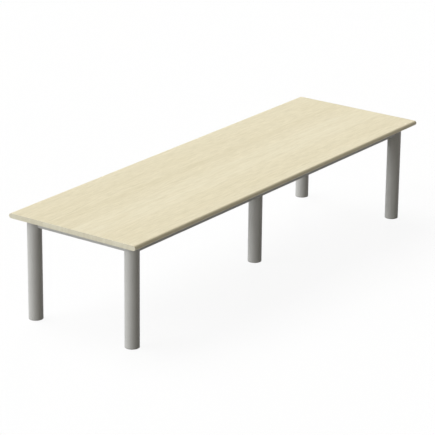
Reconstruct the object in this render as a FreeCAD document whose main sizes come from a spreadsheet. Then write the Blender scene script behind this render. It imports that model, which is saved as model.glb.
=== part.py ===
import FreeCAD, Part
import Sketcher
import math
import os

# Canteen table: a long board on five round legs, with a frame of rails between the four corner legs.
# Millimetres, +Z up. The origin is on the floor under the middle of the top, X runs along the table and
# Y across it. Left is the -X end and front is the -Y side.

# Driving dimensions: name, number, and what it measures.
SIZES = (
    ("table_length", 3250, "top, along X"),
    ("table_width", 1000, "top, along Y"),
    ("table_height", 720, "floor to the upper face of the top"),
    ("top_thickness", 32, "board with both of its sheets"),
    ("laminate_thickness", 1, "face sheet, and backing sheet of the same stock"),
    ("end_band_thickness", 2, "band on each flat end of the top"),
    ("end_band_rounding", 1, "outer edge of the bands"),
    ("leg_diameter", 95, "outside of the leg tube"),
    ("leg_wall", 2, "wall of the leg tube"),
    ("leg_inset", 112, "edge of the top to the axis of a corner leg, both ways"),
    ("middle_leg_along", 184, "middle leg's axis from the middle of the length"),
    ("middle_leg_across", -119, "middle leg's axis from the middle of the width"),
    ("leg_head_thickness", 5, "disc that closes the top of a corner leg"),
    ("rail_height", 60, "outside of the rail tubes, upright"),
    ("long_rail_width", 60, "outside of a long rail's tube, level"),
    ("end_rail_width", 40, "outside of an end rail's tube, level"),
    ("rail_wall", 2, "wall of the rail tubes"),
    ("rail_corner_radius", 4, "outer corners of the rail tubes"),
    ("cope_gap", 0.3, "rail's hollowed end to the leg that it meets"),
    ("spigot_reach", 90, "spigot's length from the leg's surface"),
    ("spigot_wall", 3, "wall of the spigot tube"),
    ("spigot_gap", 0.3, "spigot to the inside of the rail, each side"),
    ("weld_gap", 0.1, "parts fitted up for welding"),
    ("joint_screw_offset", 30, "leg's surface to the first screw of a joint"),
    ("joint_screw_pitch", 40, "first to second screw of a joint"),
    ("joint_screw_diameter", 8, "thread of the joint screws"),
    ("joint_screw_length", 16, "under the head"),
    ("joint_screw_head_diameter", 14, "button head"),
    ("joint_screw_head_height", 4, "button head"),
    ("joint_screw_tip", 1, "chamfered end"),
    ("joint_screw_socket_width", 5, "hexagon socket, across flats"),
    ("joint_screw_socket_depth", 2.4, "hexagon socket, from the crown of the head"),
    ("joint_nut_width", 13, "across flats"),
    ("joint_nut_height", 6.5, "welded inside the spigot"),
    ("top_screw_margin", 190, "leg's axis to the nearest screw into the top"),
    ("top_screw_diameter", 6, "shank of the screws into the top"),
    ("top_screw_head_diameter", 12, "pan head"),
    ("top_screw_head_height", 3.5, "pan head"),
    ("top_screw_tip", 6, "pointed end"),
    ("top_screw_bite", 20, "depth in the top"),
    ("top_screw_drive_width", 5, "six-lobed drive, across the lobes"),
    ("top_screw_drive_depth", 2.1, "six-lobed drive, from the crown of the head"),
    ("access_hole_diameter", 15, "lower wall of a rail, under each screw into the top"),
    ("drill_clearance", 0.4, "round a screw in a drilled steel wall, each side"),
    ("thread_clearance", 0.05, "round a thread in its nut or pilot hole, each side"),
    ("plate_diameter", 160, "plate at the head of the middle leg"),
    ("plate_thickness", 5, "plate at the head of the middle leg"),
    ("plate_screw_circle", 128, "circle through the plate's screws"),
    ("foot_stand_off", 2.5, "floor to the plug's flange with the foot screwed in"),
    ("foot_travel", 12, "how far the foot screws out"),
    ("plug_flange_height", 8, "part of the plug below the tube"),
    ("plug_sleeve_height", 40, "part of the plug inside the tube"),
    ("plug_wall", 3.5, "sleeve of the plug"),
    ("plug_web", 6.7, "floor of the plug, over the pad"),
    ("plug_gap", 0.2, "plug to the inside of the tube"),
    ("plug_hub_diameter", 28, "hub round the insert"),
    ("plug_rib_thickness", 3, "ribs from hub to sleeve"),
    ("plug_rib_drop", 6, "ribs stop this far below the sleeve's end"),
    ("plug_edge_radius", 2, "lower edge of the flange"),
    ("insert_diameter", 16, "threaded insert in the hub"),
    ("insert_height", 16, "threaded insert in the hub"),
    ("stud_diameter", 10, "thread of the levelling stud"),
    ("stud_collar_width", 14, "six-sided collar, across flats"),
    ("stud_collar_height", 5, "six-sided collar"),
    ("stud_collar_room", 6, "collar to the insert above it"),
    ("stud_collar_side_gap", 1, "collar's corners to the plug"),
    ("stud_stub_diameter", 14, "end that turns in the pad"),
    ("stud_stub_depth", 6, "end that turns in the pad"),
    ("pad_diameter", 62, "floor pad"),
    ("pad_height", 9, "floor pad"),
    ("pad_gap", 0.3, "pad to the plug's web with the foot screwed in"),
    ("pad_side_gap", 2, "pad to the side of its recess"),
    ("pad_edge_radius", 1.5, "lower edge of the pad"),
    ("running_clearance", 0.05, "stud turning in the pad"),
)

# Counts, which are not lengths.
LONG_RAIL_SCREWS = 5
END_RAIL_SCREWS = 2
JOINT_SCREWS = 2
PLATE_SCREWS = 6
PLUG_RIBS = 6

# The waist between two lobes of a drive, as a share of its width.
LOBE_WAIST_RATIO = 0.78

doc = FreeCAD.newDocument("CanteenTable")
sheet = doc.addObject("Spreadsheet::Sheet", "Sizes")
for row, (alias, number, meaning) in enumerate(SIZES, start=1):
    sheet.set(f"A{row}", alias)
    sheet.set(f"B{row}", str(number))
    sheet.setAlias(f"B{row}", alias)
    sheet.set(f"C{row}", meaning)
doc.recompute()

# Places worked out from the driving dimensions, as expressions.
LEG_RADIUS = "(Sizes.leg_diameter / 2)"
LEG_X = "(Sizes.table_length / 2 - Sizes.leg_inset)"
LEG_Y = "(Sizes.table_width / 2 - Sizes.leg_inset)"
TOP_UNDERSIDE = "(Sizes.table_height - Sizes.top_thickness)"
ROUND_CENTRE = "((Sizes.table_width - Sizes.top_thickness) / 2)"
BOARD_LENGTH = "(Sizes.table_length - 2 * Sizes.end_band_thickness)"
RAIL_FLOOR = f"({TOP_UNDERSIDE} - Sizes.rail_height)"
RAIL_INNER_RADIUS = "max(Sizes.rail_corner_radius - Sizes.rail_wall; Sizes.rail_wall / 4)"
RAIL_WIDTH = {"long": "Sizes.long_rail_width", "end": "Sizes.end_rail_width"}
RAIL_SCREWS = {"long": LONG_RAIL_SCREWS, "end": END_RAIL_SCREWS}
SPIGOT_LOW = "(Sizes.rail_wall + Sizes.spigot_gap)"
SPIGOT_HIGH = f"(Sizes.rail_height - {SPIGOT_LOW})"
JOINT_HOLE_RADIUS = "(Sizes.joint_screw_diameter / 2 + Sizes.drill_clearance)"
TOP_HOLE_RADIUS = "(Sizes.top_screw_diameter / 2 + Sizes.drill_clearance)"
PLATE_UNDERSIDE = f"({TOP_UNDERSIDE} - Sizes.plate_thickness)"
TUBE_BOTTOM = "(Sizes.foot_stand_off + Sizes.plug_flange_height)"
SLEEVE_TOP = f"({TUBE_BOTTOM} + Sizes.plug_sleeve_height)"
SLEEVE_RADIUS = f"({LEG_RADIUS} - Sizes.leg_wall - Sizes.plug_gap)"
RECESS_TOP = "(Sizes.pad_height + Sizes.pad_gap)"
WEB_TOP = f"({RECESS_TOP} + Sizes.plug_web)"
INSERT_BOTTOM = "(Sizes.pad_height + Sizes.stud_collar_height + Sizes.stud_collar_room)"
INSERT_TOP = f"({INSERT_BOTTOM} + Sizes.insert_height)"
INSERT_SEAT_RADIUS = "(Sizes.insert_diameter / 2 + Sizes.thread_clearance)"
THREAD_RADIUS = "(Sizes.stud_diameter / 2 + Sizes.thread_clearance)"
STUD_TOP = f"({INSERT_TOP} + Sizes.foot_travel)"
COLLAR_RADIUS = "(Sizes.stud_collar_width / sqrt(3))"

CORNERS = {
    "front_left": (-1, -1),
    "back_left": (-1, 1),
    "front_right": (1, -1),
    "back_right": (1, 1),
}

nodes = []


# Helpers for the document: values, places, sketches and features.


def value(expression):
    return float(sheet.evalExpression(expression))


def place(piece, x="0", y="0", z="0", turn=0):
    """Put a piece at x, y, z, turned by a number of degrees about the upright axis."""
    spot = FreeCAD.Vector(value(x), value(y), value(z))
    piece.Placement = FreeCAD.Placement(spot, FreeCAD.Rotation(FreeCAD.Vector(0, 0, 1), turn))
    for axis, expression in zip("xyz", (x, y, z)):
        piece.setExpression(f"Placement.Base.{axis}", expression)


def new_sketch(body, plane, lift="0"):
    """A sketch on one of the body's own origin planes, lifted off it along the plane's normal."""
    sketch = body.newObject("Sketcher::SketchObject", f"{body.Name}_sketch")
    planes = {feature.Role: feature for feature in body.Origin.OriginFeatures}
    sketch.AttachmentSupport = [(planes[plane], "")]
    sketch.MapMode = "FlatFace"
    sketch.setExpression("AttachmentOffset.Base.z", lift)
    return sketch


def hold(sketch, kind, element, end, expression):
    """Hold one coordinate of a point of the sketch, measured from its origin."""
    index = sketch.addConstraint(Sketcher.Constraint(kind, -1, 1, element, end, value(expression)))
    sketch.setExpression(f"Constraints[{index}]", expression)


def add_circle(sketch, u, v, radius):
    centre = FreeCAD.Vector(value(u), value(v), 0)
    circle = Part.Circle(centre, FreeCAD.Vector(0, 0, 1), value(radius))
    element = sketch.addGeometry(circle)
    hold(sketch, "DistanceX", element, 3, u)
    hold(sketch, "DistanceY", element, 3, v)
    index = sketch.addConstraint(Sketcher.Constraint("Radius", element, value(radius)))
    sketch.setExpression(f"Constraints[{index}]", radius)


def add_outline(sketch, corners, half_rounds=None):
    """A closed outline through corners. half_rounds maps a corner's number to +1 or -1, where the way to
    the next corner is a half circle, turning left or right, whose centre is level with its ends."""
    half_rounds = half_rounds or {}
    points = [FreeCAD.Vector(value(u), value(v), 0) for u, v in corners]
    ends = []
    for number, start in enumerate(points):
        finish = points[(number + 1) % len(points)]
        turn = half_rounds.get(number, 0)
        if turn:
            chord = finish - start
            bulge = (start + finish) / 2 + FreeCAD.Vector(chord.y, -chord.x, 0) * (turn / 2)
            arc = Part.Arc(start, bulge, finish) if turn > 0 else Part.Arc(finish, bulge, start)
            element = sketch.addGeometry(arc)
            hold(sketch, "DistanceX", element, 3, corners[number][0])
        else:
            element = sketch.addGeometry(Part.LineSegment(start, finish))
        ends.append((element, 2, 1) if turn < 0 else (element, 1, 2))
    for number, (element, first, last) in enumerate(ends):
        following, following_first, _ = ends[(number + 1) % len(ends)]
        sketch.addConstraint(Sketcher.Constraint("Coincident", element, last, following, following_first))
        hold(sketch, "DistanceX", element, first, corners[number][0])
        hold(sketch, "DistanceY", element, first, corners[number][1])


def add_rectangle(sketch, left, right, low, high):
    add_outline(sketch, [(left, low), (right, low), (right, high), (left, high)])


def new_pad(body, sketch, length, both_ways=False):
    pad = body.newObject("PartDesign::Pad", f"{body.Name}_pad")
    pad.Profile = sketch
    pad.SideType = "Symmetric" if both_ways else "One side"
    pad.setExpression("Length", length)
    return pad


def new_pocket(body, sketch, depth=None):
    """Cut upwards from the sketch, to a depth or right through."""
    pocket = body.newObject("PartDesign::Pocket", f"{body.Name}_pocket")
    pocket.Profile = sketch
    pocket.Reversed = True
    if depth:
        pocket.setExpression("Length", depth)
    else:
        pocket.Type = "ThroughAll"
    return pocket


def new_revolution(body, corners):
    """Turn an outline of radius and height about the upright axis."""
    sketch = new_sketch(body, "XZ_Plane")
    add_outline(sketch, corners)
    revolution = body.newObject("PartDesign::Revolution", f"{body.Name}_revolution")
    revolution.Profile = sketch
    revolution.ReferenceAxis = (sketch, ["V_Axis"])
    revolution.Angle = 360
    return revolution


def new_polar_pattern(body, feature, sketch, count):
    pattern = body.newObject("PartDesign::PolarPattern", f"{body.Name}_pattern")
    pattern.Originals = [feature]
    pattern.Axis = (sketch, ["N_Axis"])
    pattern.Angle = 360
    pattern.Occurrences = count
    body.Tip = pattern
    return pattern


def round_edges(body, base, radius, chosen):
    """Fillet those edges of the base feature for which chosen says yes."""
    doc.recompute()
    numbered = enumerate(base.Shape.Edges, start=1)
    names = [f"Edge{number}" for number, edge in numbered if chosen(edge)]
    fillet = body.newObject("PartDesign::Fillet", f"{body.Name}_fillet")
    fillet.Base = (base, names)
    fillet.setExpression("Radius", radius)
    return fillet


def is_rim(edge, radius, height):
    """Whether an edge is a full circle of that radius at that height about the upright axis."""
    round_edge = isinstance(edge.Curve, Part.Circle)
    return round_edge and abs(edge.Curve.Radius - radius) < 1e-4 and abs(edge.Curve.Center.z - height) < 1e-4


def is_upright(edge, along):
    """Whether an edge lies in the upright plane across the table at that place along it."""
    return all(abs(corner.X - along) < 1e-4 for corner in edge.Vertexes)


def new_tube(label, outer_radius, inner_radius, length):
    body = doc.addObject("PartDesign::Body", label)
    sketch = new_sketch(body, "XY_Plane")
    add_circle(sketch, "0", "0", outer_radius)
    add_circle(sketch, "0", "0", inner_radius)
    new_pad(body, sketch, length)
    return body


# The top: a chipboard core with half-round long edges, a face sheet wrapped over it from one lower edge to
# the other, a backing sheet between the wrapped ends and a band on each flat end.


def half_round_section(low, high):
    """The board's section across the table, with a half round on either side."""
    corners = [
        (f"-{ROUND_CENTRE}", low),
        (ROUND_CENTRE, low),
        (ROUND_CENTRE, high),
        (f"-{ROUND_CENTRE}", high),
    ]
    return corners, {1: 1, 3: 1}


def new_board(label, section, length, both_ways):
    body = doc.addObject("PartDesign::Body", label)
    sketch = new_sketch(body, "YZ_Plane")
    add_outline(sketch, *section)
    new_pad(body, sketch, length, both_ways)
    return body


def build_top(pilot_drill):
    face, under = "Sizes.table_height", TOP_UNDERSIDE
    core_high = f"({face} - Sizes.laminate_thickness)"
    core_low = f"({under} + Sizes.laminate_thickness)"

    blank = new_board("core_blank", half_round_section(core_low, core_high), BOARD_LENGTH, True)
    core = doc.addObject("Part::Cut", "top_core")
    core.Base = blank
    core.Tool = pilot_drill

    wrapped = [
        (ROUND_CENTRE, under),
        (ROUND_CENTRE, face),
        (f"-{ROUND_CENTRE}", face),
        (f"-{ROUND_CENTRE}", under),
        (f"-{ROUND_CENTRE}", core_low),
        (f"-{ROUND_CENTRE}", core_high),
        (ROUND_CENTRE, core_high),
        (ROUND_CENTRE, core_low),
    ]
    laminate = new_board("top_laminate", (wrapped, {0: 1, 2: 1, 4: -1, 6: -1}), BOARD_LENGTH, True)

    sheet_blank = doc.addObject("Part::Box", "backing_blank")
    sheet_blank.setExpression("Length", BOARD_LENGTH)
    sheet_blank.setExpression("Width", f"2 * {ROUND_CENTRE}")
    sheet_blank.setExpression("Height", "Sizes.laminate_thickness")
    place(sheet_blank, f"-{BOARD_LENGTH} / 2", f"-{ROUND_CENTRE}", under)
    backing = doc.addObject("Part::Cut", "backing_sheet")
    backing.Base = sheet_blank
    backing.Tool = pilot_drill
    nodes.extend([core, laminate, backing])

    bands = (
        ("left", "-Sizes.table_length / 2", "0"),
        ("right", f"{BOARD_LENGTH} / 2", "Sizes.end_band_thickness"),
    )
    for side, start, outer_face in bands:
        section = half_round_section(under, face)
        band = new_board(f"end_band_{side}", section, "Sizes.end_band_thickness", False)
        outer = value(outer_face)
        round_edges(band, band.Tip, "Sizes.end_band_rounding", lambda edge: is_upright(edge, outer))
        place(band, start)
        nodes.append(band)


# The frame: rectangular tubes with hollowed ends that sit against the round legs, pushed over spigots
# that are welded to the legs.


def new_box_tube(body, width, low, high, wall, start, length):
    """A level rectangular tube along the body's X axis, still with sharp corners."""
    sketch = new_sketch(body, "YZ_Plane", start)
    add_rectangle(sketch, f"-{width} / 2", f"{width} / 2", low, high)
    inner = f"({width} / 2 - {wall})"
    add_rectangle(sketch, f"-{inner}", inner, f"{low} + {wall}", f"{high} - {wall}")
    return new_pad(body, sketch, length)


def round_corners(body, tube, half_width, radius):
    """Round those long edges of a rectangular tube that lie half_width from its middle."""
    distance = value(half_width)

    def is_corner(edge):
        start, end = edge.Vertexes[0].Point, edge.Vertexes[-1].Point
        along = abs(end.x - start.x) > max(abs(end.y - start.y), abs(end.z - start.z))
        return along and abs(abs(start.y) - distance) < 1e-4

    return round_edges(body, tube, radius, is_corner)


def cope(body, leg_places, gap):
    """Hollow the tube's ends to the round of the legs that they meet."""
    sketch = new_sketch(body, "XY_Plane")
    for along in leg_places:
        add_circle(sketch, along, "0", f"{LEG_RADIUS} + {gap}")
    new_pocket(body, sketch)


def drill(body, places, radius, depth=None):
    sketch = new_sketch(body, "XY_Plane")
    for along in places:
        add_circle(sketch, along, "0", radius)
    return new_pocket(body, sketch, depth)


def joint_screw_places(leg_place, direction):
    """Where a joint's screws stand along a rail, going from one leg's axis in a direction of +1 or -1."""
    first = f"({LEG_RADIUS} + Sizes.joint_screw_offset)"
    steps = range(JOINT_SCREWS)
    return [f"{leg_place} + {direction} * ({first} + {step} * Sizes.joint_screw_pitch)" for step in steps]


def top_screw_places(half_span, count):
    """Where a rail's screws into the top stand, evenly from end to end."""
    shares = [2 * number / (count - 1) - 1 for number in range(count)]
    return [f"{share} * ({half_span} - Sizes.top_screw_margin)" for share in shares]


def world_points(body, places, height):
    """Points along a rail's X axis, at a height over the floor."""
    spots = [body.Placement.multVec(FreeCAD.Vector(value(along), 0, 0)) for along in places]
    return [FreeCAD.Vector(spot.x, spot.y, value(height)) for spot in spots]


def build_rails():
    """The four rails. Returns the seats of the joint screws and of the screws into the top."""
    layout = (
        ("rail_front", "long", LEG_X, "0", f"-{LEG_Y}", 0),
        ("rail_back", "long", LEG_X, "0", LEG_Y, 180),
        ("rail_left", "end", LEG_Y, f"-{LEG_X}", "0", -90),
        ("rail_right", "end", LEG_Y, LEG_X, "0", 90),
    )
    joint_seats = []
    top_seats = []
    for label, direction, half_span, x, y, turn in layout:
        rail = doc.addObject("PartDesign::Body", label)
        width = RAIL_WIDTH[direction]
        tube = new_box_tube(
            rail,
            width=width,
            low="0",
            high="Sizes.rail_height",
            wall="Sizes.rail_wall",
            start=f"-{half_span}",
            length=f"2 * {half_span}",
        )
        rounded = round_corners(rail, tube, f"{width} / 2", "Sizes.rail_corner_radius")
        round_corners(rail, rounded, f"{width} / 2 - Sizes.rail_wall", RAIL_INNER_RADIUS)
        cope(rail, [f"-{half_span}", half_span], "Sizes.cope_gap")
        joint_places = joint_screw_places(f"-{half_span}", 1) + joint_screw_places(half_span, -1)
        top_places = top_screw_places(half_span, RAIL_SCREWS[direction])
        lower_wall = "Sizes.rail_height / 2"
        drill(rail, joint_places, JOINT_HOLE_RADIUS, lower_wall)
        drill(rail, top_places, "Sizes.access_hole_diameter / 2", lower_wall)
        drill(rail, top_places, TOP_HOLE_RADIUS)
        place(rail, x, y, RAIL_FLOOR, turn)
        nodes.append(rail)
        joint_seats += world_points(rail, joint_places, RAIL_FLOOR)
        top_seats += world_points(rail, top_places, f"{TOP_UNDERSIDE} - Sizes.rail_wall")
    return joint_seats, top_seats


def build_spigots():
    """Two spigots on each corner leg, one along the table and one across it."""
    for corner, (side_x, side_y) in CORNERS.items():
        turns = {"long": 0 if side_x < 0 else 180, "end": 90 if side_y < 0 else -90}
        for direction, turn in turns.items():
            spigot = doc.addObject("PartDesign::Body", f"spigot_{corner}_{direction}")
            width = f"({RAIL_WIDTH[direction]} - 2 * {SPIGOT_LOW})"
            tube = new_box_tube(
                spigot,
                width=width,
                low=SPIGOT_LOW,
                high=SPIGOT_HIGH,
                wall="Sizes.spigot_wall",
                start="0",
                length=f"{LEG_RADIUS} + Sizes.spigot_reach",
            )
            round_corners(spigot, tube, f"{width} / 2", RAIL_INNER_RADIUS)
            cope(spigot, ["0"], "Sizes.weld_gap")
            drill(spigot, joint_screw_places("0", 1), JOINT_HOLE_RADIUS, "Sizes.rail_height / 2")
            place(spigot, f"{side_x} * {LEG_X}", f"{side_y} * {LEG_Y}", RAIL_FLOOR, turn)
            nodes.append(spigot)


# The legs: round tubes. A disc closes each corner leg under the top, and the middle leg has a plate that
# is screwed to the top, because no rail passes it.


def build_leg(name, x, y, head):
    length = f"{head} - {TUBE_BOTTOM}"
    leg = new_tube(f"leg_{name}", LEG_RADIUS, f"{LEG_RADIUS} - Sizes.leg_wall", length)
    place(leg, x, y, TUBE_BOTTOM)
    nodes.append(leg)


def build_leg_head(name, x, y):
    disc = doc.addObject("Part::Cylinder", f"leg_head_{name}")
    disc.setExpression("Radius", f"{LEG_RADIUS} - Sizes.leg_wall - Sizes.weld_gap")
    disc.setExpression("Height", "Sizes.leg_head_thickness")
    place(disc, x, y, f"{TOP_UNDERSIDE} - Sizes.leg_head_thickness")
    nodes.append(disc)


def build_middle_plate(x, y):
    """The middle leg's plate. Returns the seats of its screws."""
    plate = doc.addObject("PartDesign::Body", "middle_plate")
    disc = new_sketch(plate, "XY_Plane")
    add_circle(disc, "0", "0", "Sizes.plate_diameter / 2")
    new_pad(plate, disc, "Sizes.plate_thickness")
    hole = new_sketch(plate, "XY_Plane")
    add_circle(hole, "Sizes.plate_screw_circle / 2", "0", TOP_HOLE_RADIUS)
    new_polar_pattern(plate, new_pocket(plate, hole), hole, PLATE_SCREWS)
    place(plate, x, y, PLATE_UNDERSIDE)
    nodes.append(plate)
    reach = value("Sizes.plate_screw_circle / 2")
    angles = [2 * math.pi * number / PLATE_SCREWS for number in range(PLATE_SCREWS)]
    spots = [FreeCAD.Vector(reach * math.cos(angle), reach * math.sin(angle), 0) for angle in angles]
    return [plate.Placement.multVec(spot) for spot in spots]


# The feet: a moulded plug in the tube's lower end holds a threaded insert. A stud screws into the insert,
# and its lower end turns in a pad that stands on the floor inside the plug's recess.


def build_plug(name, x, y):
    sleeve_inside = f"({SLEEVE_RADIUS} - Sizes.plug_wall)"
    hub = "(Sizes.plug_hub_diameter / 2)"
    collar_hole = f"({COLLAR_RADIUS} + Sizes.stud_collar_side_gap)"
    recess = "(Sizes.pad_diameter / 2 + Sizes.pad_side_gap)"
    plug = doc.addObject("PartDesign::Body", f"end_plug_{name}")
    corners = [
        (recess, "Sizes.foot_stand_off"),
        (LEG_RADIUS, "Sizes.foot_stand_off"),
        (LEG_RADIUS, TUBE_BOTTOM),
        (SLEEVE_RADIUS, TUBE_BOTTOM),
        (SLEEVE_RADIUS, SLEEVE_TOP),
        (sleeve_inside, SLEEVE_TOP),
        (sleeve_inside, WEB_TOP),
        (hub, WEB_TOP),
        (hub, SLEEVE_TOP),
        (THREAD_RADIUS, SLEEVE_TOP),
        (THREAD_RADIUS, INSERT_TOP),
        (INSERT_SEAT_RADIUS, INSERT_TOP),
        (INSERT_SEAT_RADIUS, INSERT_BOTTOM),
        (collar_hole, INSERT_BOTTOM),
        (collar_hole, RECESS_TOP),
        (recess, RECESS_TOP),
    ]
    shell = new_revolution(plug, corners)
    edge_radius, edge_height = value(LEG_RADIUS), value("Sizes.foot_stand_off")
    round_edges(plug, shell, "Sizes.plug_edge_radius", lambda edge: is_rim(edge, edge_radius, edge_height))
    rib = new_sketch(plug, "XY_Plane", WEB_TOP)
    half_rib = "Sizes.plug_rib_thickness / 2"
    add_rectangle(rib, f"{hub} - Sizes.plug_wall / 2", f"{sleeve_inside} + Sizes.plug_wall / 2",
                  f"-{half_rib}", half_rib)
    rib_pad = new_pad(plug, rib, f"{SLEEVE_TOP} - Sizes.plug_rib_drop - {WEB_TOP}")
    new_polar_pattern(plug, rib_pad, rib, PLUG_RIBS)
    place(plug, x, y)
    nodes.append(plug)


def build_insert(name, x, y):
    outside = "Sizes.insert_diameter / 2"
    insert = new_tube(f"thread_insert_{name}", outside, THREAD_RADIUS, "Sizes.insert_height")
    place(insert, x, y, INSERT_BOTTOM)
    nodes.append(insert)


def build_stud(name, x, y):
    stud = doc.addObject("PartDesign::Body", f"foot_stud_{name}")
    collar_low = "(Sizes.pad_height + Sizes.running_clearance)"
    stub_low = "(Sizes.pad_height - Sizes.stud_stub_depth)"
    corners = [
        ("0", stub_low),
        ("Sizes.stud_stub_diameter / 2", stub_low),
        ("Sizes.stud_stub_diameter / 2", collar_low),
        ("Sizes.stud_diameter / 2", collar_low),
        ("Sizes.stud_diameter / 2", STUD_TOP),
        ("0", STUD_TOP),
    ]
    new_revolution(stud, corners)
    collar = stud.newObject("PartDesign::AdditivePrism", f"{stud.Name}_collar")
    collar.Polygon = 6
    collar.setExpression("Circumradius", COLLAR_RADIUS)
    collar.setExpression("Height", "Sizes.stud_collar_height")
    place(collar, z=collar_low)
    place(stud, x, y)
    nodes.append(stud)


def build_pad(name, x, y):
    pad = doc.addObject("PartDesign::Body", f"foot_pad_{name}")
    socket = "(Sizes.stud_stub_diameter / 2 + Sizes.running_clearance)"
    socket_floor = "(Sizes.pad_height - Sizes.stud_stub_depth - Sizes.running_clearance)"
    corners = [
        ("0", "0"),
        ("Sizes.pad_diameter / 2", "0"),
        ("Sizes.pad_diameter / 2", "Sizes.pad_height"),
        (socket, "Sizes.pad_height"),
        (socket, socket_floor),
        ("0", socket_floor),
    ]
    disc = new_revolution(pad, corners)
    edge_radius = value("Sizes.pad_diameter / 2")
    round_edges(pad, disc, "Sizes.pad_edge_radius", lambda edge: is_rim(edge, edge_radius, 0))
    place(pad, x, y)
    nodes.append(pad)


# The fasteners: each kind is one group of equal pieces, all driven upwards.


def hexagon(width, centre):
    """A six-sided face, given its width across flats."""
    angles = [math.pi * number / 3 for number in range(7)]
    reach = width / math.sqrt(3)
    ring = [centre + FreeCAD.Vector(math.cos(angle), math.sin(angle), 0) * reach for angle in angles]
    return Part.Face(Part.makePolygon(ring))


def six_lobes(width, centre):
    """A six-lobed face with 24 straight sides, given its width across the lobes."""
    mean, swing = (1 + LOBE_WAIST_RATIO) / 2, (1 - LOBE_WAIST_RATIO) / 2
    ring = []
    for number in range(25):
        angle = math.pi * number / 12
        reach = width / 2 * (mean + swing * math.cos(6 * angle))
        ring.append(centre + FreeCAD.Vector(math.cos(angle), math.sin(angle), 0) * reach)
    return Part.Face(Part.makePolygon(ring))


def screw(seat, diameter, length, head_diameter, head_height, tip, drive, drive_width, drive_depth):
    """A screw with its head's flat side on the seat: a domed head below it, the shank above.

    drive is the function that draws the face of the recess in the head."""
    head_radius = head_diameter / 2
    dome_radius = (head_radius**2 + head_height**2) / (2 * head_height)
    dome_centre = dome_radius - head_height
    half_angle = math.atan2(head_radius, dome_centre) / 2
    crown = FreeCAD.Vector(0, 0, -head_height)
    rise = dome_centre - dome_radius * math.cos(half_angle)
    on_dome = FreeCAD.Vector(dome_radius * math.sin(half_angle), 0, rise)
    rim = FreeCAD.Vector(head_radius, 0, 0)
    outline = [
        rim,
        FreeCAD.Vector(diameter / 2, 0, 0),
        FreeCAD.Vector(diameter / 2, 0, length - tip),
        FreeCAD.Vector(0, 0, length),
        crown,
    ]
    edges = [Part.Arc(crown, on_dome, rim).toShape()]
    edges += [Part.LineSegment(start, end).toShape() for start, end in zip(outline, outline[1:])]
    section = Part.Face(Part.Wire(edges))
    blank = section.revolve(FreeCAD.Vector(0, 0, 0), FreeCAD.Vector(0, 0, 1), 360)
    recess = drive(drive_width, crown).extrude(FreeCAD.Vector(0, 0, drive_depth))
    solid = blank.cut(recess).Solids[0]
    solid.translate(seat)
    return solid


def top_screw(seat, length):
    return screw(
        seat,
        diameter=value("Sizes.top_screw_diameter"),
        length=length,
        head_diameter=value("Sizes.top_screw_head_diameter"),
        head_height=value("Sizes.top_screw_head_height"),
        tip=value("Sizes.top_screw_tip"),
        drive=six_lobes,
        drive_width=value("Sizes.top_screw_drive_width"),
        drive_depth=value("Sizes.top_screw_drive_depth"),
    )


def joint_screw(seat):
    return screw(
        seat,
        diameter=value("Sizes.joint_screw_diameter"),
        length=value("Sizes.joint_screw_length"),
        head_diameter=value("Sizes.joint_screw_head_diameter"),
        head_height=value("Sizes.joint_screw_head_height"),
        tip=value("Sizes.joint_screw_tip"),
        drive=hexagon,
        drive_width=value("Sizes.joint_screw_socket_width"),
        drive_depth=value("Sizes.joint_screw_socket_depth"),
    )


def joint_nut(seat):
    """A six-sided nut on the spigot's lower wall, over the screw whose seat is given."""
    height = value("Sizes.joint_nut_height")
    base = seat + FreeCAD.Vector(0, 0, value(f"{SPIGOT_LOW} + Sizes.spigot_wall"))
    prism = hexagon(value("Sizes.joint_nut_width"), base).extrude(FreeCAD.Vector(0, 0, height))
    bore = value("Sizes.joint_screw_diameter / 2 + Sizes.thread_clearance")
    return prism.cut(Part.makeCylinder(bore, height, base))


def new_group(label, shapes):
    group = doc.addObject("Part::Feature", label)
    group.Shape = Part.makeCompound(shapes)
    return group


def build_fasteners(joint_seats, rail_seats, plate_seats):
    """The screws and nuts. Returns the drill that makes the pilot holes in the top."""
    rail_screw_length = value("Sizes.rail_wall + Sizes.top_screw_bite")
    plate_screw_length = value("Sizes.plate_thickness + Sizes.top_screw_bite")
    nodes.append(new_group("joint_screws", [joint_screw(seat) for seat in joint_seats]))
    nodes.append(new_group("joint_nuts", [joint_nut(seat) for seat in joint_seats]))
    nodes.append(new_group("top_screws", [top_screw(seat, rail_screw_length) for seat in rail_seats]))
    nodes.append(new_group("plate_screws", [top_screw(seat, plate_screw_length) for seat in plate_seats]))

    clearance = value("Sizes.thread_clearance")
    radius = value("Sizes.top_screw_diameter / 2") + clearance
    depths = [(seat, rail_screw_length) for seat in rail_seats]
    depths += [(seat, plate_screw_length) for seat in plate_seats]
    drills = [Part.makeCylinder(radius, length + clearance, seat) for seat, length in depths]
    return new_group("pilot_drill", drills)


# Assembly.

joint_seats, rail_seats = build_rails()
build_spigots()

legs = {name: (f"{sx} * {LEG_X}", f"{sy} * {LEG_Y}") for name, (sx, sy) in CORNERS.items()}
for name, (x, y) in legs.items():
    build_leg(name, x, y, TOP_UNDERSIDE)
    build_leg_head(name, x, y)
legs["middle"] = ("Sizes.middle_leg_along", "Sizes.middle_leg_across")
build_leg("middle", *legs["middle"], PLATE_UNDERSIDE)
plate_seats = build_middle_plate(*legs["middle"])

for name, (x, y) in legs.items():
    build_plug(name, x, y)
    build_insert(name, x, y)
    build_stud(name, x, y)
    build_pad(name, x, y)

build_top(build_fasteners(joint_seats, rail_seats, plate_seats))
doc.recompute()

# Nothing is written unless every object of the document is sound.
for piece in doc.Objects:
    if "Invalid" in piece.State or "Error" in piece.State:
        raise RuntimeError(f"{piece.Label} failed: {piece.State}")
for piece in nodes:
    if piece.Shape.isNull() or not piece.Shape.isValid() or not piece.Shape.Solids:
        raise RuntimeError(f"{piece.Label} has no sound solid")

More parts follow.
